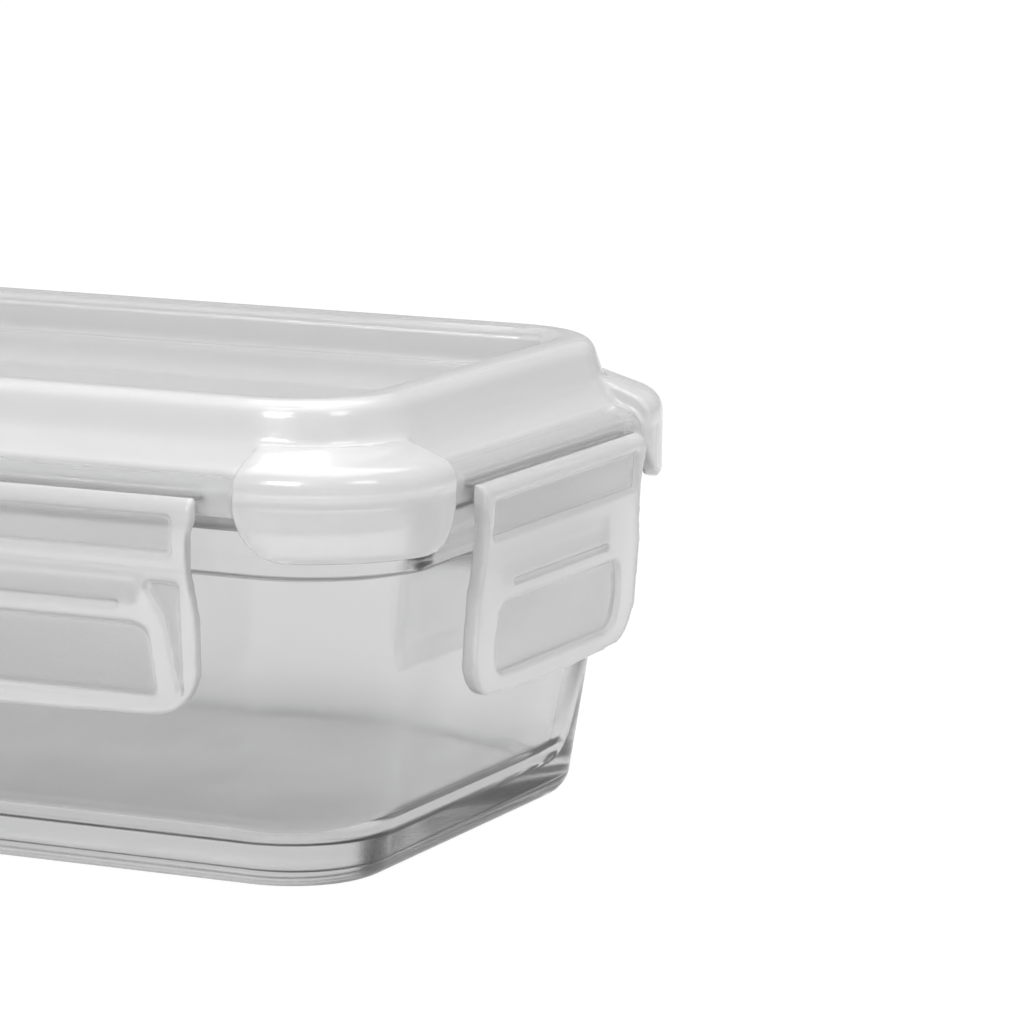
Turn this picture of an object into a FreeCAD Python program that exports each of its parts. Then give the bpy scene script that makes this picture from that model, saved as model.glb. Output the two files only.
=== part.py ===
import FreeCAD, Part
import math
import os

# A rectangular glass food container with a snap-lock lid, in millimetres.
# Origin: middle of the underside of the glass base.  +X along the long side, +Z up.
# The lid is one plastic moulding that holds a silicone ring.  Four flaps hang from
# thin film hinges along its edges and hook under the rim of the glass bowl.
# Inset is measured inward from the straight edges of the lid flange.  The lid and the
# gasket are rings: a section of (inset, height) corners carried round a rounded rectangle.

V = FreeCAD.Vector

# Plan of the lid flange
FLANGE_LENGTH = 144.0
FLANGE_WIDTH = 102.0
CORNER_RADIUS = 20.0

# Heights above the table
FLOOR_TOP = 5.2
FOOT_RECESS = 0.7
LEDGE_HEIGHT = 42.0
RIM_TOP = 51.0
SKIRT_BOTTOM = 49.7
HINGE_HEIGHT = 52.1
FLANGE_TOP = 55.0
PANEL_TOP = 58.4
LID_TOP = 63.8

# Glass bowl insets
GLASS_RIM_OUTER = 1.9
GLASS_RIM_INNER = 6.2
GLASS_WALL_TOP = 5.2
GLASS_BASE_OUTER = 10.3
GLASS_FLOOR_INNER = 14.0
GLASS_FOOT = 17.5

# Glass bowl roundings
BASE_CORNER = 14.0
FLOOR_CORNER = 13.0
HEEL_RADIUS = 4.0
FLOOR_RADIUS = 5.0
FOOT_CORNER = 9.0
LIP_RADIUS = 0.8

# Lid moulding
RAISED_CORNER = 23.5
WEB_INSET = 8.0
WEB_BOTTOM = 53.0
WEB_TOP = 55.0
SKIRT_THICKNESS = 1.4
PANEL_THICKNESS = 1.6
PLUG_OUTER = 7.3
PLUG_INNER = 8.9
PLUG_BOTTOM = 47.0
CHANNEL_TOP = 53.0
GROOVE_DEPTH = 0.7
GROOVE_CLEARANCE = 0.4
GROOVE_LOW = 51.4
GROOVE_HIGH = 54.0

# Corner tabs of the lid
TAB_PROUD = 1.0
TAB_BOTTOM = 44.4
TAB_OVERRUN = 0.4
TAB_ROUNDING = 7.5

# Flaps
HINGE_END = 25.2
FLAP_BOTTOM = 23.2
FLAP_BOW = 1.1
FLAP_CORNER = 6.5
FLAP_START = 0.7
FLAP_SHOULDER = 3.0
FLAP_TOE = 0.9
FLAP_THICKNESS = 2.0
FLAP_NECK = 0.9
FLAP_FLARE = 0.2
BORDER = 1.8
RECESS_DEPTH = 0.8

# Locking ribs and hinge films
RIB_TIP = 3.6
RIB_TOP = 41.65
RIB_END = 9.0
FILM_THICKNESS = 0.4

# The four sides, each drawn along X at the front and turned into place
SIDES = {
    "front": (FLANGE_LENGTH, FLANGE_WIDTH, 0.0),
    "right": (FLANGE_WIDTH, FLANGE_LENGTH, 90.0),
    "back": (FLANGE_LENGTH, FLANGE_WIDTH, 180.0),
    "left": (FLANGE_WIDTH, FLANGE_LENGTH, 270.0),
}


def rounded_face(corners, place):
    """Flat face with corners (a, b, radius), each rounded; place(a, b) is a point."""
    runs = []
    for i, (a, b, radius) in enumerate(corners):
        here = V(a, b, 0)
        before = (V(*corners[i - 1][:2], 0) - here).normalize()
        after = (V(*corners[(i + 1) % len(corners)][:2], 0) - here).normalize()
        half = before.getAngle(after) / 2
        reach = radius / math.tan(half)
        middle = here + (before + after).normalize() * radius * (1 / math.sin(half) - 1)
        runs.append((here + before * reach, middle, here + after * reach))
    edges = []
    for i, (start, middle, stop) in enumerate(runs):
        following = runs[(i + 1) % len(runs)][0]
        if corners[i][2]:
            points = [place(p.x, p.y) for p in (start, middle, stop)]
            edges.append(Part.Arc(*points).toShape())
        edges.append(Part.LineSegment(place(stop.x, stop.y), place(following.x, following.y)).toShape())
    return Part.Face(Part.Wire(edges))


def joined(shapes):
    """One solid made of touching or overlapping solids."""
    return shapes[0].multiFuse(shapes[1:]).removeSplitter()


def turned(shape, angle):
    """A copy turned about the vertical axis through the origin."""
    copy = shape.copy()
    copy.rotate(V(0, 0, 0), V(0, 0, 1), angle)
    return copy


def corner_arc(section, along, across, radius=CORNER_RADIUS, lead=0.0):
    """A section carried round the corner at the right end of the front, with straight leads."""
    x = along / 2 - radius
    y = across / 2 - radius
    face = rounded_face(section, lambda inset, z: V(x, inset - across / 2, z))
    pieces = [face.revolve(V(x, -y, 0), V(0, 0, 1), 90)]
    if lead:
        pieces.append(face.extrude(V(-lead, 0, 0)))
        side = rounded_face(section, lambda inset, z: V(along / 2 - inset, -y, z))
        pieces.append(side.extrude(V(0, lead, 0)))
    return pieces


def ring(section, radius=CORNER_RADIUS):
    """A section of (inset, height, radius) corners carried all the way round the flange plan."""
    pieces = []
    for along, across, angle in SIDES.values():
        half = along / 2 - radius
        face = rounded_face(section, lambda inset, z: V(-half, inset - across / 2, z))
        pieces.append(turned(face.extrude(V(2 * half, 0, 0)), angle))
        pieces += [turned(piece, angle) for piece in corner_arc(section, along, across, radius)]
    return joined(pieces)


def plan(inset, height, radius):
    """The rounded rectangle that lies inset from the flange edges, as a flat face."""
    x = FLANGE_LENGTH / 2 - inset
    y = FLANGE_WIDTH / 2 - inset
    corners = [(-x, -y, radius), (x, -y, radius), (x, y, radius), (-x, y, radius)]
    return rounded_face(corners, lambda a, b: V(a, b, height))


def plate(inset, bottom, top, radius):
    """A flat plate with upright sides."""
    return plan(inset, bottom, radius).extrude(V(0, 0, top - bottom))


def tapered(low, high):
    """A solid with straight drafted walls between two plans of (inset, height, radius)."""
    return Part.makeLoft([plan(*low).OuterWire, plan(*high).OuterWire], True, True)


def edges_at(shape, height, inset=0.0):
    """The level edges of a solid at a height, as far in from the flange edges as inset."""
    x = FLANGE_LENGTH / 2 - inset + 0.01
    y = FLANGE_WIDTH / 2 - inset + 0.01
    found = []
    for edge in shape.Edges:
        box = edge.BoundBox
        level = abs(box.ZMin - height) < 1e-4 and abs(box.ZMax - height) < 1e-4
        if level and max(-box.XMin, box.XMax) < x and max(-box.YMin, box.YMax) < y:
            found.append(edge)
    return found


def make_glass_body():
    """Pressed glass bowl: flanged rim, drafted walls, heavy base with a shallow foot."""
    wall_corner = CORNER_RADIUS - GLASS_WALL_TOP
    mouth_corner = CORNER_RADIUS - GLASS_RIM_INNER
    outside = tapered((GLASS_BASE_OUTER, 0, BASE_CORNER), (GLASS_WALL_TOP, LEDGE_HEIGHT + 1, wall_corner))
    outside = outside.makeFillet(HEEL_RADIUS, edges_at(outside, 0))
    rim = plate(GLASS_RIM_OUTER, LEDGE_HEIGHT, RIM_TOP, CORNER_RADIUS - GLASS_RIM_OUTER)
    rim = rim.makeFillet(LIP_RADIUS, edges_at(rim, LEDGE_HEIGHT) + edges_at(rim, RIM_TOP))
    inside = tapered((GLASS_FLOOR_INNER, FLOOR_TOP, FLOOR_CORNER), (GLASS_RIM_INNER, RIM_TOP, mouth_corner))
    inside = inside.makeFillet(FLOOR_RADIUS, edges_at(inside, FLOOR_TOP))
    foot = plate(GLASS_FOOT, 0, FOOT_RECESS, FOOT_CORNER)
    bowl = joined([outside, rim]).cut(inside).cut(foot)
    return bowl.makeFillet(LIP_RADIUS, edges_at(bowl, RIM_TOP, GLASS_RIM_INNER))


def make_corner_tabs():
    """Thick rounded tabs that wrap the four corners of the lid and drop over the glass rim."""
    section = [
        (-TAB_PROUD, TAB_BOTTOM, 1.2),
        (-TAB_PROUD, 55.6, 3.0),
        (6.2, PANEL_TOP, 0),
        (7.6, PANEL_TOP - 0.6, 0),
        (7.6, 54.0, 0),
        (SKIRT_THICKNESS, 54.0, 0),
        (SKIRT_THICKNESS, TAB_BOTTOM, 0.4),
    ]
    tabs = []
    for along, across, angle in SIDES.values():
        tab = joined(corner_arc(section, along, across, lead=TAB_OVERRUN))
        tabs.append(turned(tab.cut(tab_rounding(along, across)), angle))
    return tabs


def tab_rounding(along, across):
    """What is cut from the lower ends of a corner tab to make it D-shaped."""
    r = TAB_ROUNDING
    reach = 9.0
    x = along / 2 - CORNER_RADIUS - TAB_OVERRUN
    y = -across / 2 + CORNER_RADIUS + TAB_OVERRUN
    low = TAB_BOTTOM

    def spandrel(place, push):
        """Square corner with its quarter circle taken out."""
        arc = Part.Arc(place(0, r), place(r * (1 - math.sqrt(0.5)), r * (1 - math.sqrt(0.5))), place(r, 0))
        lines = [place(r, 0), place(r, -1), place(-1, -1), place(-1, r), place(0, r)]
        edges = [arc.toShape()] + [Part.LineSegment(a, b).toShape() for a, b in zip(lines, lines[1:])]
        return Part.Face(Part.Wire(edges)).extrude(push)

    front = spandrel(lambda a, b: V(x + a, -across / 2 - reach / 2, low + b), V(0, reach, 0))
    side = spandrel(lambda a, b: V(along / 2 + reach / 2, y - a, low + b), V(-reach, 0, 0))
    return front.fuse(side)


def make_hinge_groove(along, across, angle):
    """The notch in the flange edge that a film hinge grows out of."""
    length = flap_width(along) + 2 * GROOVE_CLEARANCE
    groove = Part.makeBox(length, GROOVE_DEPTH + 1, GROOVE_HIGH - GROOVE_LOW)
    groove.translate(V(-length / 2, -across / 2 - 1, GROOVE_LOW))
    return turned(groove, angle)


def make_lid_shell():
    """Lid moulding: skirt, flange, cove, raised rim round a sunk panel, plug ring, corner tabs."""
    inner = CORNER_RADIUS - 1.0
    flange = [
        (0, SKIRT_BOTTOM, 0.5),
        (0, 52.9, 0.8),
        (2.0, 54.6, 0.6),
        (PLUG_INNER, 55.6, 0),
        (PLUG_INNER, PLUG_BOTTOM, 0.5),
        (PLUG_OUTER, PLUG_BOTTOM, 0.5),
        (PLUG_OUTER, CHANNEL_TOP, 0),
        (SKIRT_THICKNESS, CHANNEL_TOP, 0),
        (SKIRT_THICKNESS, SKIRT_BOTTOM, 0.4),
    ]
    raised = [
        (2.0, 54.4, 0),
        (5.0, 55.4, 6.2),
        (7.9, LID_TOP, 2.6),
        (13.5, LID_TOP, 2.4),
        (14.9, PANEL_TOP, 1.4),
        (inner, PANEL_TOP, 0),
        (inner, PANEL_TOP - PANEL_THICKNESS, 0),
        (13.3, PANEL_TOP - PANEL_THICKNESS, 0.8),
        (12.5, LID_TOP - 1.7, 1.2),
        (9.8, LID_TOP - 1.7, 1.2),
        (9.0, 57.5, 1.0),
        (9.0, WEB_BOTTOM, 0),
        (6.0, WEB_BOTTOM, 0),
    ]
    panel = plate(inner, PANEL_TOP - PANEL_THICKNESS, PANEL_TOP, RAISED_CORNER - inner)
    web = plate(WEB_INSET, WEB_BOTTOM, WEB_TOP, CORNER_RADIUS - WEB_INSET)
    web = web.cut(plate(WEB_INSET, WEB_BOTTOM, WEB_TOP, RAISED_CORNER - WEB_INSET))
    shell = joined([ring(flange), ring(raised, RAISED_CORNER), panel, web] + make_corner_tabs())
    for side in SIDES.values():
        shell = shell.cut(make_hinge_groove(*side))
    return shell


def make_gasket():
    """Silicone ring that fills the channel between skirt and plug and sits on the glass rim."""
    section = [
        (2.1, RIM_TOP, 0.5),
        (2.1, CHANNEL_TOP, 0),
        (6.6, CHANNEL_TOP, 0),
        (6.6, RIM_TOP, 0.5),
    ]
    return ring(section)


def flap_outer(z):
    """How far outside the flange edge a flap's outer face stands at a height."""
    top = HINGE_HEIGHT - 2.0
    return FLAP_TOE + (FLAP_SHOULDER - FLAP_TOE) * (z - FLAP_BOTTOM) / (top - FLAP_BOTTOM)


def flap_inner(z):
    """How far outside the flange edge a flap's inner face stands at a height."""
    toe = FLAP_TOE - FLAP_THICKNESS
    top = HINGE_HEIGHT - 1.5
    return toe + (FLAP_START - toe) * (z - FLAP_BOTTOM) / (top - FLAP_BOTTOM)


def flap_width(along):
    """Width of a flap at its hinge."""
    return along - 2 * HINGE_END


def outside_of(depth, length, across):
    """All the space in front of a plane set back by depth from a flap's outer face."""
    low, high, far = FLAP_BOTTOM - 5, HINGE_HEIGHT + 5, 12.0
    corners = [
        (flap_outer(low) - depth, low, 0),
        (far, low, 0),
        (far, high, 0),
        (flap_outer(high) - depth, high, 0),
    ]
    face = rounded_face(corners, lambda u, z: V(-length, -across / 2 - u, z))
    return face.extrude(V(2 * length, 0, 0))


def window(corners, across):
    """A prism through a flap with the given outline, as seen from outside."""
    face = rounded_face(corners, lambda s, z: V(s, -across / 2 - 12, z))
    return face.extrude(V(0, 18, 0))


def mirrored(half, middle=()):
    """A closed outline from its right half, listed from top to bottom, and what is between the halves."""
    return half + list(middle) + [(-s, z, r) for s, z, r in reversed(half)]


def make_flap(along, across, angle):
    """A flap: bull-nosed shoulder, neck, wide rounded lip, ribs standing round its sunk panels."""
    half = flap_width(along) / 2
    long_side = along > across
    low = FLAP_BOTTOM - 2
    side = [
        (FLAP_START, HINGE_HEIGHT + 0.3, 0),
        (FLAP_SHOULDER, HINGE_HEIGHT - 0.1, 2.0),
        (flap_outer(low), low, 0),
        (flap_inner(low), low, 0),
        (FLAP_START, HINGE_HEIGHT - 1.5, 0),
    ]
    face = rounded_face(side, lambda u, z: V(-half - 2, -across / 2 - u, z))
    body = face.extrude(V(2 * half + 4, 0, 0))
    dip = FLAP_BOTTOM - 0.4 * FLAP_BOW
    bow_radius = 0.75 * half ** 2 / (FLAP_BOTTOM + FLAP_BOW - dip)
    outline = mirrored([
        (half, HINGE_HEIGHT + 3, 0),
        (half, HINGE_HEIGHT - 2.4, 2.0),
        (half - FLAP_NECK, HINGE_HEIGHT - 5.0, 3.0),
        (half - FLAP_NECK, LEDGE_HEIGHT + 1.0, 6.0),
        (half + FLAP_FLARE, 37.0, 8.0),
        (half + FLAP_FLARE, FLAP_BOTTOM + FLAP_BOW, FLAP_CORNER),
    ], [(0, dip, bow_radius)])
    body = body.common(window(outline, across))
    edge = half - FLAP_NECK - BORDER
    upper = mirrored([(edge, 50.2, 0.5), (edge, 44.8, 0.5)])
    arch = half - 6.5
    border_top = FLAP_BOTTOM + FLAP_BOW + BORDER
    grip_corner = 1.5 if long_side else 4.0
    grip = mirrored([(arch, 36.0, 2.5), (arch + 1.2, border_top, grip_corner)])
    wedge = [
        (half - 7.5, 41.6, 0.8),
        (half - 1.9, 41.6, 0.8),
        (half - 1.7, 27.0, 0.3),
        (half - 2.6, 27.0, 0.3),
        (half - 4.4, 36.5, 3.0),
    ]
    slot = mirrored([(arch - 4, 38.6, 0.3), (arch - 4, 37.7, 0.3)])
    recesses = [upper, grip, slot]
    if long_side:
        recesses += [wedge, [(-s, z, r) for s, z, r in wedge]]
    front = outside_of(RECESS_DEPTH, along, across)
    for corners in recesses:
        body = body.cut(window(corners, across).common(front))
    return turned(body, angle)


def make_locking_rib(along, across, angle):
    """The rib inside a flap that hooks under the ledge of the glass rim."""
    half = flap_width(along) / 2 - RIB_END
    low = RIB_TOP - 3.4
    side = [
        (flap_inner(RIB_TOP), RIB_TOP, 0),
        (flap_inner(low), low, 0),
        (-RIB_TIP, RIB_TOP - 1.5, 0.5),
        (-RIB_TIP, RIB_TOP, 0.5),
    ]
    face = rounded_face(side, lambda u, z: V(-half, -across / 2 - u, z))
    return turned(face.extrude(V(2 * half, 0, 0)), angle)


def make_hinge_film(along, across, angle):
    """The thin web that joins a flap to the flange edge and bends when the flap opens."""
    length = flap_width(along)
    film = Part.makeBox(length, GROOVE_DEPTH + FLAP_START, FILM_THICKNESS)
    film.translate(V(-length / 2, -across / 2 - FLAP_START, HINGE_HEIGHT - FILM_THICKNESS / 2))
    return turned(film, angle)


def main():
    nodes = {
        "glass_body": make_glass_body(),
        "lid_shell": make_lid_shell(),
        "gasket": make_gasket(),
    }
    for name, side in SIDES.items():
        nodes["flap_" + name] = make_flap(*side)
        nodes["locking_rib_" + name] = make_locking_rib(*side)
        nodes["hinge_film_" + name] = make_hinge_film(*side)
    os.makedirs("parts", exist_ok=True)
    for name, shape in nodes.items():
        print(name, "valid", shape.isValid(), "solids", len(shape.Solids), "volume", round(shape.Volume))
        shape.exportStep(os.path.join("parts", name + ".step"))


main()
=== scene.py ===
import math

import bmesh
import bpy
import numpy as np
from mathutils import Matrix, Vector
from mathutils.bvhtree import BVHTree


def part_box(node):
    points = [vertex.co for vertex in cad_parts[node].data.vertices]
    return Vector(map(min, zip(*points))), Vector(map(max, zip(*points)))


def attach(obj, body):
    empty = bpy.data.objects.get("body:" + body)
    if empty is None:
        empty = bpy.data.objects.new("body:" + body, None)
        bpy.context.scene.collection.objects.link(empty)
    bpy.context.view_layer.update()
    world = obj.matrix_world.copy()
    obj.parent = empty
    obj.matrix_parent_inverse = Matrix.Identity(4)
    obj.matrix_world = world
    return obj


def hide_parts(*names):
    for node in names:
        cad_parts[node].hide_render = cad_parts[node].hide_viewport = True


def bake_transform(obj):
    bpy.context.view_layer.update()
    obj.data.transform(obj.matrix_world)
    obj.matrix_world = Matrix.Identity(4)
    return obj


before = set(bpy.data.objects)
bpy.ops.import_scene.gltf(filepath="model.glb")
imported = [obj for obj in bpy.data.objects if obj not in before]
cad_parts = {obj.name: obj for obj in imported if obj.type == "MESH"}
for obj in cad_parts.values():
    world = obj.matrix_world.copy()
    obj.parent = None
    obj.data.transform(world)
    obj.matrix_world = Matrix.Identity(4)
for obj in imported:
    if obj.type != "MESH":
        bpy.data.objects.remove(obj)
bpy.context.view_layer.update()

MM = 0.001
SIDES = ("front", "right", "back", "left")

# Glass bowl section, from the underside round to the floor, in millimetres:
# (inset from the flange edge, height, rounding, inset of the corner centres).
# Below it: roughly how far apart its points are, the steps in each arc of the section
# and in each corner and side of the plan, and the smallest corner radius.
FLANGE = (144.0, 102.0)
GLASS_SECTION = [
    (17.5, 0.7, 0.2, 26.5),
    (17.5, 0.0, 0.2, 26.5),
    (10.3, 0.0, 4.0, 24.3),
    (5.32, 42.0, 0.8, 20.0),
    (1.9, 42.0, 0.8, 20.0),
    (1.9, 51.0, 0.8, 20.0),
    (6.2, 51.0, 0.8, 20.0),
    (14.0, 5.2, 5.0, 27.0),
    (24.0, 5.2, 0.0, 27.0),
]
SECTION_SPACING = 4.0
SECTION_ARC_STEPS = 8
CORNER_STEPS = 14
SIDE_STEPS = 14
SMALLEST_CORNER = 0.5

# Finishes. A noise is (scale, detail); a bump is (scale, detail, height in metres).
GLASS_COLOUR = (0.875, 0.875, 0.878, 1)
GLASS_IOR = 1.5
GLASS_ROUGHNESS = (0.07, 0.13)
GLASS_HAZE = (60, 2)
GLASS_WAVES = [(18, 1.0, 0.24 * MM), (60, 1.5, 0.04 * MM)]

# Plastics: the thin and the thick wall, how clear each is, and the grey of the thin one
LID_WALLS = {"walls": (1.7 * MM, 3.2 * MM), "clearness": (0.69, 0.46), "thin_tone": 0.94}
FLAP_WALLS = {"walls": (1.3 * MM, 2.0 * MM), "clearness": (0.92, 0.58), "thin_tone": 0.83}
PLASTIC_THICK_COLOUR = (0.925, 0.922, 0.923, 1)
PLASTIC_CLOUDS = (35, 3)
PLASTIC_CLOUDINESS = 0.06
PLASTIC_IOR = 1.49
PLASTIC_COAT = 0.8
PLASTIC_COAT_ROUGHNESS = 0.06
PLASTIC_ROUGHNESS = (0.19, 0.26)
PLASTIC_HAZE = (50, 3)
PLASTIC_GRAIN = [(30, 1, 0.03 * MM), (900, 2, 0.002 * MM)]

SILICONE_COLOUR = (0.86, 0.87, 0.88, 1)
SILICONE_CLEARNESS = 0.45
SILICONE_IOR = 1.41
SILICONE_ROUGHNESS = (0.4, 0.55)
SILICONE_HAZE = (120, 3)
SILICONE_GRAIN = [(700, 3, 0.008 * MM)]

# Floor: its glow and the share of glow in it, each (how much more the camera sees,
# how much every ray sees)
FLOOR_COLOUR = (0.86, 0.86, 0.86, 1)
FLOOR_ROUGHNESS = 0.9
FLOOR_GLOW = (0.26, 0.80)
FLOOR_GLOW_SHARE = (0.30, 0.62)
FLOOR_HALF = 3.0
FLOOR_DROP = 0.0002

# Camera: where it aims, its direction and roll in degrees, how far away and how
# far to its right and above the aim it stands, and its lens and sensor
AIM = Vector((0.060, -0.040, 0.030))
AZIMUTH = 24.48
PITCH = 9.39
ROLL = 0.64
DISTANCE = 0.68945
ASIDE = (0.02269, 0.01956)
FOCAL_PIXELS = 5453.8
FRAME_PIXELS = 1024
SENSOR = 36.0
CLIP_START = 0.01

# Softboxes: name, place, width and height, power in watts
LIGHTS = [
    ("key_front", (0.13, -0.76, 0.68), (0.34, 0.26), 3.1),
    ("key_side", (0.74, -0.26, 0.68), (0.24, 0.24), 0.8),
    ("top", (0.0, 0.25, 1.1), (0.9, 0.9), 5.0),
]
LIGHT_AIM = Vector((0.02, 0, 0.04))
BACKDROP = 1.05
DEEP_BOUNCES = 32
TRANSPARENT_BOUNCES = 16
GLOSSY_BOUNCES = 8

# Room: its colour below and above, and the heights between which it brightens,
# where 0 is straight down and 1 is straight up
ROOM_DARK = (0.45, 0.45, 0.453, 1)
ROOM_BRIGHT = (0.84, 0.84, 0.843, 1)
ROOM_HEIGHTS = (0.40, 0.85)

# Remeshed mouldings: grid size and how many times the edges are smoothed
LID_GRID = (0.36 * MM, 8)
FLAP_GRID = (0.33 * MM, 6)
EDGE_SMOOTHING = 0.5

# Wall depth: the most that is measured, how far inside the surface the measuring
# ray starts, how often the depths are blurred and how much each blur keeps
DEEPEST_WALL = 6 * MM
RAY_START = 0.01 * MM
DEPTH_BLURS = 6
DEPTH_KEPT = 0.3

WELD_DISTANCE = 1e-6
GASKET_SHARP_ANGLE = 32
BOWL_NORMAL_WEIGHT = 80
FILM_STRIPS = 10


# ---------------------------------------------------------------- materials

def new_material(name):
    """An empty node material and its Principled shader."""
    material = bpy.data.materials.new(name)
    material.use_nodes = True
    shader = material.node_tree.nodes["Principled BSDF"]
    return material, shader


def add_node(material, kind, **values):
    """A node with some of its sockets or settings filled in."""
    node = material.node_tree.nodes.new(kind)
    for key, value in values.items():
        if key in node.inputs:
            node.inputs[key].default_value = value
        else:
            setattr(node, key, value)
    return node


def noise(material, scale, detail):
    """Noise in the object's own metres."""
    links = material.node_tree.links
    place = add_node(material, "ShaderNodeTexCoord")
    texture = add_node(material, "ShaderNodeTexNoise", Scale=scale, Detail=detail)
    links.new(place.outputs["Object"], texture.inputs["Vector"])
    return texture.outputs["Fac"]


def ramp(material, source, low, high, start=0.3, stop=0.7):
    """A value that runs from low to high while the source runs from start to stop."""
    node = add_node(material, "ShaderNodeMapRange")
    node.inputs["From Min"].default_value = start
    node.inputs["From Max"].default_value = stop
    node.inputs["To Min"].default_value = low
    node.inputs["To Max"].default_value = high
    material.node_tree.links.new(source, node.inputs["Value"])
    return node.outputs["Result"]


def scaled(material, source, gain, start):
    """source times gain, plus start."""
    node = add_node(material, "ShaderNodeMath", operation="MULTIPLY_ADD")
    node.inputs[1].default_value = gain
    node.inputs[2].default_value = start
    material.node_tree.links.new(source, node.inputs[0])
    return node.outputs[0]


def bumps(material, shader, layers):
    """Bump from several noise layers, each (scale, detail, height in metres)."""
    links = material.node_tree.links
    normal = None
    for scale, detail, height in layers:
        bump = add_node(material, "ShaderNodeBump", Strength=1.0, Distance=height)
        links.new(noise(material, scale, detail), bump.inputs["Height"])
        if normal is not None:
            links.new(normal, bump.inputs["Normal"])
        normal = bump.outputs["Normal"]
    links.new(normal, shader.inputs["Normal"])


def make_glass():
    """Clear pressed glass, with the faint waviness that a mould leaves."""
    material, shader = new_material("clear_pressed_glass")
    shader.inputs["Base Color"].default_value = GLASS_COLOUR
    shader.inputs["Transmission Weight"].default_value = 1.0
    shader.inputs["IOR"].default_value = GLASS_IOR
    rough = ramp(material, noise(material, *GLASS_HAZE), *GLASS_ROUGHNESS)
    material.node_tree.links.new(rough, shader.inputs["Roughness"])
    bumps(material, shader, GLASS_WAVES)
    return material


def make_plastic(name, walls, clearness, thin_tone):
    """Frosted polypropylene: thin walls are nearly clear and thick ones are milky.

    walls are the two thicknesses, in metres, between which clearness and tone change.
    """
    material, shader = new_material(name)
    links = material.node_tree.links
    depth = add_node(material, "ShaderNodeAttribute", attribute_name="wall_depth").outputs["Fac"]
    clouds = noise(material, *PLASTIC_CLOUDS)
    uneven = add_node(material, "ShaderNodeMath", operation="ADD")
    links.new(ramp(material, depth, 0.0, 1.0, *walls), uneven.inputs[0])
    links.new(ramp(material, clouds, -PLASTIC_CLOUDINESS, PLASTIC_CLOUDINESS), uneven.inputs[1])
    tone = add_node(material, "ShaderNodeMix", data_type="RGBA")
    thin_colour, thick_colour = tone.inputs[6], tone.inputs[7]
    thin_colour.default_value = (thin_tone, thin_tone, thin_tone, 1)
    thick_colour.default_value = PLASTIC_THICK_COLOUR
    links.new(uneven.outputs[0], tone.inputs["Factor"])
    links.new(tone.outputs[2], shader.inputs["Base Color"])
    links.new(ramp(material, depth, *clearness, *walls), shader.inputs["Transmission Weight"])
    shader.inputs["IOR"].default_value = PLASTIC_IOR
    shader.inputs["Coat Weight"].default_value = PLASTIC_COAT
    shader.inputs["Coat Roughness"].default_value = PLASTIC_COAT_ROUGHNESS
    rough = ramp(material, noise(material, *PLASTIC_HAZE), *PLASTIC_ROUGHNESS)
    links.new(rough, shader.inputs["Roughness"])
    bumps(material, shader, PLASTIC_GRAIN)
    return material


def make_silicone():
    """Milky silicone rubber."""
    material, shader = new_material("milky_silicone")
    shader.inputs["Base Color"].default_value = SILICONE_COLOUR
    shader.inputs["Transmission Weight"].default_value = SILICONE_CLEARNESS
    shader.inputs["IOR"].default_value = SILICONE_IOR
    rough = ramp(material, noise(material, *SILICONE_HAZE), *SILICONE_ROUGHNESS)
    material.node_tree.links.new(rough, shader.inputs["Roughness"])
    bumps(material, shader, SILICONE_GRAIN)
    return material


def make_floor_material():
    """Pale table top that glows evenly, more so to the camera than to other rays."""
    material, shader = new_material("pale_floor")
    nodes, links = material.node_tree.nodes, material.node_tree.links
    shader.inputs["Base Color"].default_value = FLOOR_COLOUR
    shader.inputs["Roughness"].default_value = FLOOR_ROUGHNESS
    path = add_node(material, "ShaderNodeLightPath")
    seen = path.outputs["Is Camera Ray"]
    glow = add_node(material, "ShaderNodeEmission")
    links.new(scaled(material, seen, *FLOOR_GLOW), glow.inputs["Strength"])
    mix = add_node(material, "ShaderNodeMixShader")
    links.new(scaled(material, seen, *FLOOR_GLOW_SHARE), mix.inputs["Fac"])
    links.new(shader.outputs[0], mix.inputs[1])
    links.new(glow.outputs[0], mix.inputs[2])
    links.new(mix.outputs[0], nodes["Material Output"].inputs["Surface"])
    return material


# ---------------------------------------------------------------- pieces

def make_gasket(material):
    """The seal ring: the CAD node's shape, smooth-shaded."""
    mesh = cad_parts["gasket"].data.copy()
    piece = bpy.data.objects.new("piece_gasket", mesh)
    bpy.context.scene.collection.objects.link(piece)
    tidy = bmesh.new()
    tidy.from_mesh(mesh)
    bmesh.ops.remove_doubles(tidy, verts=tidy.verts, dist=WELD_DISTANCE)
    tidy.to_mesh(mesh)
    tidy.free()
    mesh.materials.clear()
    mesh.materials.append(material)
    if "custom_normal" in mesh.attributes:
        mesh.attributes.remove(mesh.attributes["custom_normal"])
    mesh.shade_smooth()
    mesh.set_sharp_from_angle(angle=math.radians(GASKET_SHARP_ANGLE))
    weighted = piece.modifiers.new("even_normals", "WEIGHTED_NORMAL")
    weighted.keep_sharp = True
    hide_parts("gasket")
    return piece


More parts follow.
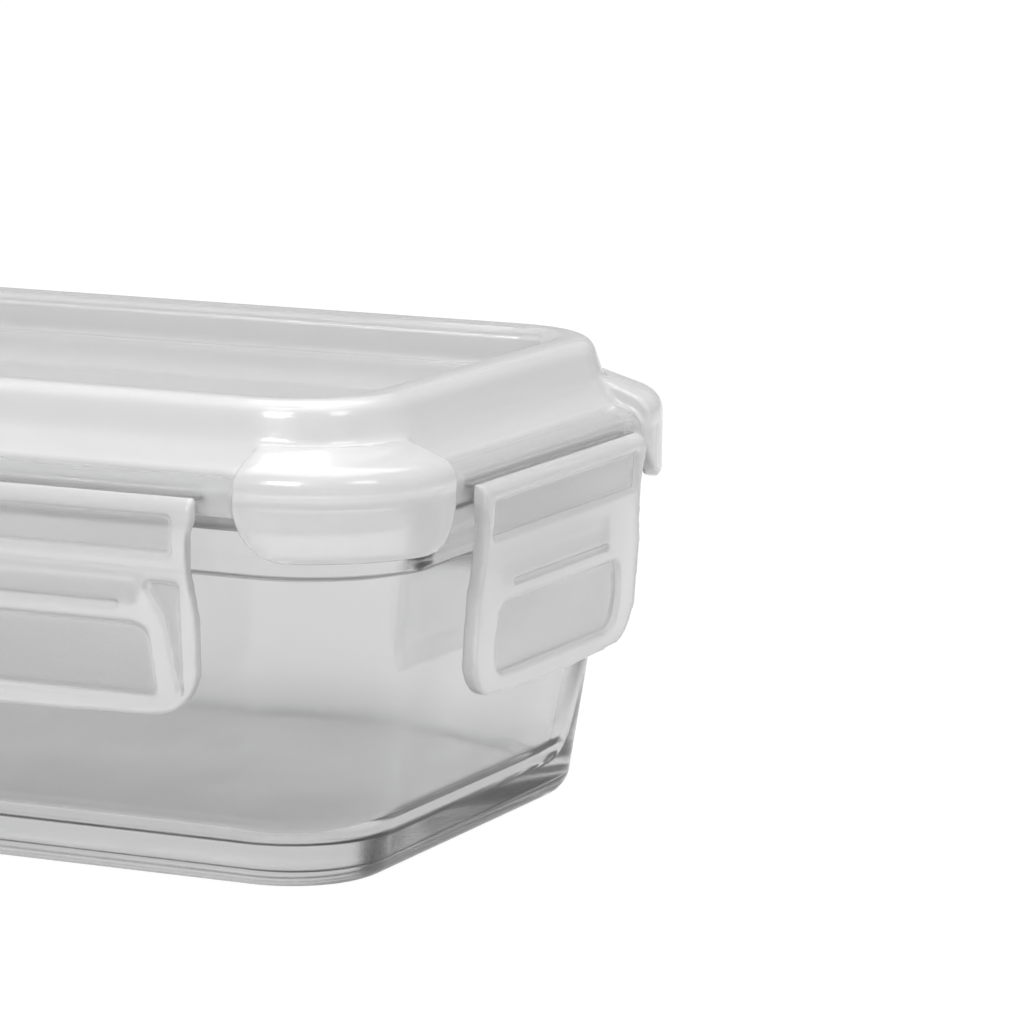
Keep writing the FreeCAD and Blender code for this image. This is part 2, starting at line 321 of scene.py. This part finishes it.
def note_wall_depth(mesh):
    """Store at each vertex how thick the wall behind it is, a little blurred."""
    points = [v.co.copy() for v in mesh.vertices]
    normals = [v.normal.copy() for v in mesh.vertices]
    tree = BVHTree.FromPolygons(points, [tuple(p.vertices) for p in mesh.polygons])
    depths = []
    for point, normal in zip(points, normals):
        hit = tree.ray_cast(point - normal * RAY_START, -normal, DEEPEST_WALL)
        depths.append(hit[3] if hit[0] else DEEPEST_WALL)
    depths = np.array(depths)
    ends = np.empty(len(mesh.edges) * 2, dtype=np.int32)
    mesh.edges.foreach_get("vertices", ends)
    one, other = ends[0::2], ends[1::2]
    size = len(depths)
    count = np.bincount(ends, minlength=size)
    for _ in range(DEPTH_BLURS):
        total = np.bincount(one, depths[other], size) + np.bincount(other, depths[one], size)
        depths = DEPTH_KEPT * depths + (1 - DEPTH_KEPT) * total / count
    mesh.attributes.new("wall_depth", "FLOAT", "POINT").data.foreach_set("value", depths)


def softened(name, nodes, material, grid):
    """One plastic moulding made of CAD nodes that touch, with every edge softly rounded."""
    joined = bmesh.new()
    for node in nodes:
        joined.from_mesh(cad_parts[node].data)
    bmesh.ops.remove_doubles(joined, verts=joined.verts, dist=WELD_DISTANCE)
    mesh = bpy.data.meshes.new(name)
    joined.to_mesh(mesh)
    joined.free()
    rough = bpy.data.objects.new(name + "_rough", mesh)
    bpy.context.scene.collection.objects.link(rough)
    remesh = rough.modifiers.new("even_grid", "REMESH")
    remesh.mode = "VOXEL"
    smooth = rough.modifiers.new("round_edges", "SMOOTH")
    smooth.factor = EDGE_SMOOTHING
    remesh.voxel_size, smooth.iterations = grid
    graph = bpy.context.evaluated_depsgraph_get()
    shape = bpy.data.meshes.new_from_object(rough.evaluated_get(graph))
    bpy.data.objects.remove(rough)
    shape.name = name
    shape.materials.clear()
    shape.materials.append(material)
    shape.shade_smooth()
    note_wall_depth(shape)
    piece = bpy.data.objects.new(name, shape)
    bpy.context.scene.collection.objects.link(piece)
    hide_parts(*nodes)
    return piece


def rounded_section(corners):
    """The section with its corners turned into arcs, as (inset, height, centre) points."""
    points = []
    for i, (inset, height, radius, centre) in enumerate(corners):
        if i in (0, len(corners) - 1) or not radius:
            points.append((inset, height, centre))
            continue
        here = Vector((inset, height))
        before = (Vector(corners[i - 1][:2]) - here).normalized()
        after = (Vector(corners[i + 1][:2]) - here).normalized()
        half = before.angle(after) / 2
        middle = here + (before + after).normalized() * (radius / math.sin(half))
        start = here + before * (radius / math.tan(half)) - middle
        stop = here + after * (radius / math.tan(half)) - middle
        for step in range(SECTION_ARC_STEPS + 1):
            spoke = start.lerp(stop, step / SECTION_ARC_STEPS).normalized()
            spot = middle + spoke * radius
            points.append((spot.x, spot.y, centre))
    return points


def plan_outline(inset, centre):
    """Points round a rounded rectangle that lies inset from the flange edges, in metres."""
    radius = max(centre - inset, SMALLEST_CORNER)
    x, y = (side / 2 - inset - radius for side in FLANGE)
    arcs = []
    for sx, sy, begin in ((1, -1, -90), (1, 1, 0), (-1, 1, 90), (-1, -1, 180)):
        middle = Vector((sx * x, sy * y))
        arc = []
        for step in range(CORNER_STEPS + 1):
            angle = math.radians(begin + 90 * step / CORNER_STEPS)
            arc.append(middle + radius * Vector((math.cos(angle), math.sin(angle))))
        arcs.append(arc)
    outline = []
    for arc, following in zip(arcs, arcs[1:] + arcs[:1]):
        outline += arc
        outline += [arc[-1].lerp(following[0], step / SIDE_STEPS) for step in range(1, SIDE_STEPS)]
    return [point * MM for point in outline]


def section_points():
    """The whole glass section as close (inset, height, centre) points."""
    section = rounded_section(GLASS_SECTION)
    points = []
    for here, following in zip(section, section[1:]):
        count = max(1, round(math.dist(here[:2], following[:2]) / SECTION_SPACING))
        for step in range(count):
            points.append(tuple(a + (b - a) * step / count for a, b in zip(here, following)))
    return points + [section[-1]]


def make_glass_bowl(material):
    """The bowl as rings of evenly spaced points, so that its shading is smooth."""
    bowl = bmesh.new()
    rings = []
    for inset, height, centre in section_points():
        outline = plan_outline(inset, centre)
        rings.append([bowl.verts.new((*point, height * MM)) for point in outline])
    for ring, following in zip(rings, rings[1:]):
        for i in range(len(ring)):
            bowl.faces.new((ring[i - 1], ring[i], following[i], following[i - 1]))
    bowl.faces.new(list(reversed(rings[0])))
    bowl.faces.new(rings[-1])
    bmesh.ops.recalc_face_normals(bowl, faces=bowl.faces)
    mesh = bpy.data.meshes.new("glass_bowl")
    bowl.to_mesh(mesh)
    bowl.free()
    mesh.materials.append(material)
    mesh.shade_smooth()
    piece = bpy.data.objects.new("glass_bowl", mesh)
    bpy.context.scene.collection.objects.link(piece)
    weighted = piece.modifiers.new("even_normals", "WEIGHTED_NORMAL")
    weighted.weight = BOWL_NORMAL_WEIGHT
    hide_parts("glass_body")
    return piece


def make_film(side, material):
    """The thin web of a hinge, as a box cut into strips."""
    low, high = (Vector(corner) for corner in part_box("hinge_film_" + side))
    across = 0 if side in ("right", "left") else 1
    outward = 1 if side in ("right", "back") else -1
    normal = Vector((1 - across, across, 0))
    web = bmesh.new()
    bmesh.ops.create_cube(web, size=1)
    bmesh.ops.scale(web, vec=high - low, verts=web.verts)
    bmesh.ops.translate(web, vec=(low + high) / 2, verts=web.verts)
    for step in range(1, FILM_STRIPS):
        geometry = web.verts[:] + web.edges[:] + web.faces[:]
        cut = low.lerp(high, step / FILM_STRIPS)
        bmesh.ops.bisect_plane(web, geom=geometry, plane_co=cut, plane_no=normal)
    mesh = bpy.data.meshes.new("film_" + side)
    web.to_mesh(mesh)
    web.free()
    mesh.materials.append(material)
    film = bpy.data.objects.new("film_" + side, mesh)
    bpy.context.scene.collection.objects.link(film)
    start, end = (low + high) / 2, (low + high) / 2
    start[across] = (low if outward > 0 else high)[across]
    end[across] = (high if outward > 0 else low)[across]
    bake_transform(film)
    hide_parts("hinge_film_" + side)
    return film


def make_pieces():
    """Every visible piece; all but the hinge films go on the body that they move with."""
    glass = make_glass()
    lid_plastic = make_plastic("frosted_lid_polypropylene", **LID_WALLS)
    flap_plastic = make_plastic("frosted_flap_polypropylene", **FLAP_WALLS)
    silicone = make_silicone()
    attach(make_glass_bowl(glass), "bowl")
    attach(softened("lid_moulding", ["lid_shell"], lid_plastic, LID_GRID), "lid")
    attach(make_gasket(silicone), "lid")
    for side in SIDES:
        nodes = ("flap_" + side, "locking_rib_" + side)
        flap = softened("snap_flap_" + side, nodes, flap_plastic, FLAP_GRID)
        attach(flap, "flap_" + side)
        make_film(side, flap_plastic)


# ---------------------------------------------------------------- studio

def make_floor():
    """A large table top, just below the container."""
    mesh = bpy.data.meshes.new("floor")
    quarters = ((-1, -1), (1, -1), (1, 1), (-1, 1))
    corners = [(x * FLOOR_HALF, y * FLOOR_HALF, -FLOOR_DROP) for x, y in quarters]
    mesh.from_pydata(corners, [], [(0, 1, 2, 3)])
    floor = bpy.data.objects.new("floor", mesh)
    bpy.context.scene.collection.objects.link(floor)
    mesh.materials.append(make_floor_material())


def make_lights():
    """Rectangular softboxes, each turned towards the container."""
    for name, place, size, power in LIGHTS:
        data = bpy.data.lights.new(name, "AREA")
        data.shape = "RECTANGLE"
        data.size, data.size_y = size
        data.energy = power
        light = bpy.data.objects.new(name, data)
        bpy.context.scene.collection.objects.link(light)
        light.location = place
        light.rotation_mode = "QUATERNION"
        light.rotation_quaternion = (LIGHT_AIM - Vector(place)).to_track_quat("-Z", "Y")


def make_world():
    """White backdrop to the camera, and a grey room with a bright ceiling to everything else."""
    world = bpy.data.worlds.new("studio")
    bpy.context.scene.world = world
    world.use_nodes = True
    nodes, links = world.node_tree.nodes, world.node_tree.links
    back = nodes["Background"]
    place = nodes.new("ShaderNodeTexCoord")
    split = nodes.new("ShaderNodeSeparateXYZ")
    shade = nodes.new("ShaderNodeValToRGB")
    dark, bright = shade.color_ramp.elements
    dark.color, bright.color = ROOM_DARK, ROOM_BRIGHT
    dark.position, bright.position = ROOM_HEIGHTS
    # Turns a height from -1 to 1 into one from 0 to 1
    lift = nodes.new("ShaderNodeMath")
    lift.operation = "MULTIPLY_ADD"
    lift.inputs[1].default_value = 0.5
    lift.inputs[2].default_value = 0.5
    white = nodes.new("ShaderNodeBackground")
    white.inputs["Color"].default_value = (1, 1, 1, 1)
    white.inputs["Strength"].default_value = BACKDROP
    path = nodes.new("ShaderNodeLightPath")
    mix = nodes.new("ShaderNodeMixShader")
    links.new(place.outputs["Generated"], split.inputs[0])
    links.new(split.outputs["Z"], lift.inputs[0])
    links.new(lift.outputs[0], shade.inputs["Fac"])
    links.new(shade.outputs["Color"], back.inputs["Color"])
    links.new(path.outputs["Is Camera Ray"], mix.inputs["Fac"])
    links.new(back.outputs[0], mix.inputs[1])
    links.new(white.outputs[0], mix.inputs[2])
    links.new(mix.outputs[0], nodes["World Output"].inputs["Surface"])


def make_camera():
    """The camera, which looks down a little on the near corner."""
    azimuth, pitch, roll = (math.radians(v) for v in (AZIMUTH, PITCH, ROLL))
    away = Vector((math.sin(azimuth), -math.cos(azimuth), 0))
    back = away * math.cos(pitch) + Vector((0, 0, math.sin(pitch)))
    right = Vector((math.cos(azimuth), math.sin(azimuth), 0))
    up = back.cross(right)
    right, up = (right * math.cos(roll) + up * math.sin(roll),
                 up * math.cos(roll) - right * math.sin(roll))
    camera = bpy.data.objects.new("camera", bpy.data.cameras.new("camera"))
    bpy.context.scene.collection.objects.link(camera)
    camera.data.sensor_width = SENSOR
    camera.data.lens = FOCAL_PIXELS * SENSOR / FRAME_PIXELS
    camera.data.clip_start = CLIP_START
    place = AIM + right * ASIDE[0] + up * ASIDE[1] + back * DISTANCE
    turn = Matrix((right, up, back)).transposed().to_4x4()
    camera.matrix_world = Matrix.Translation(place) @ turn
    bpy.context.scene.camera = camera


def make_render_settings():
    """Plain tones, and enough bounces to see through glass and plastic walls."""
    scene = bpy.context.scene
    scene.view_settings.view_transform = "Standard"
    scene.cycles.max_bounces = DEEP_BOUNCES
    scene.cycles.transmission_bounces = DEEP_BOUNCES
    scene.cycles.transparent_max_bounces = TRANSPARENT_BOUNCES
    scene.cycles.glossy_bounces = GLOSSY_BOUNCES
    scene.cycles.use_denoising = True


make_pieces()
make_floor()
make_lights()
make_world()
make_camera()
make_render_settings()
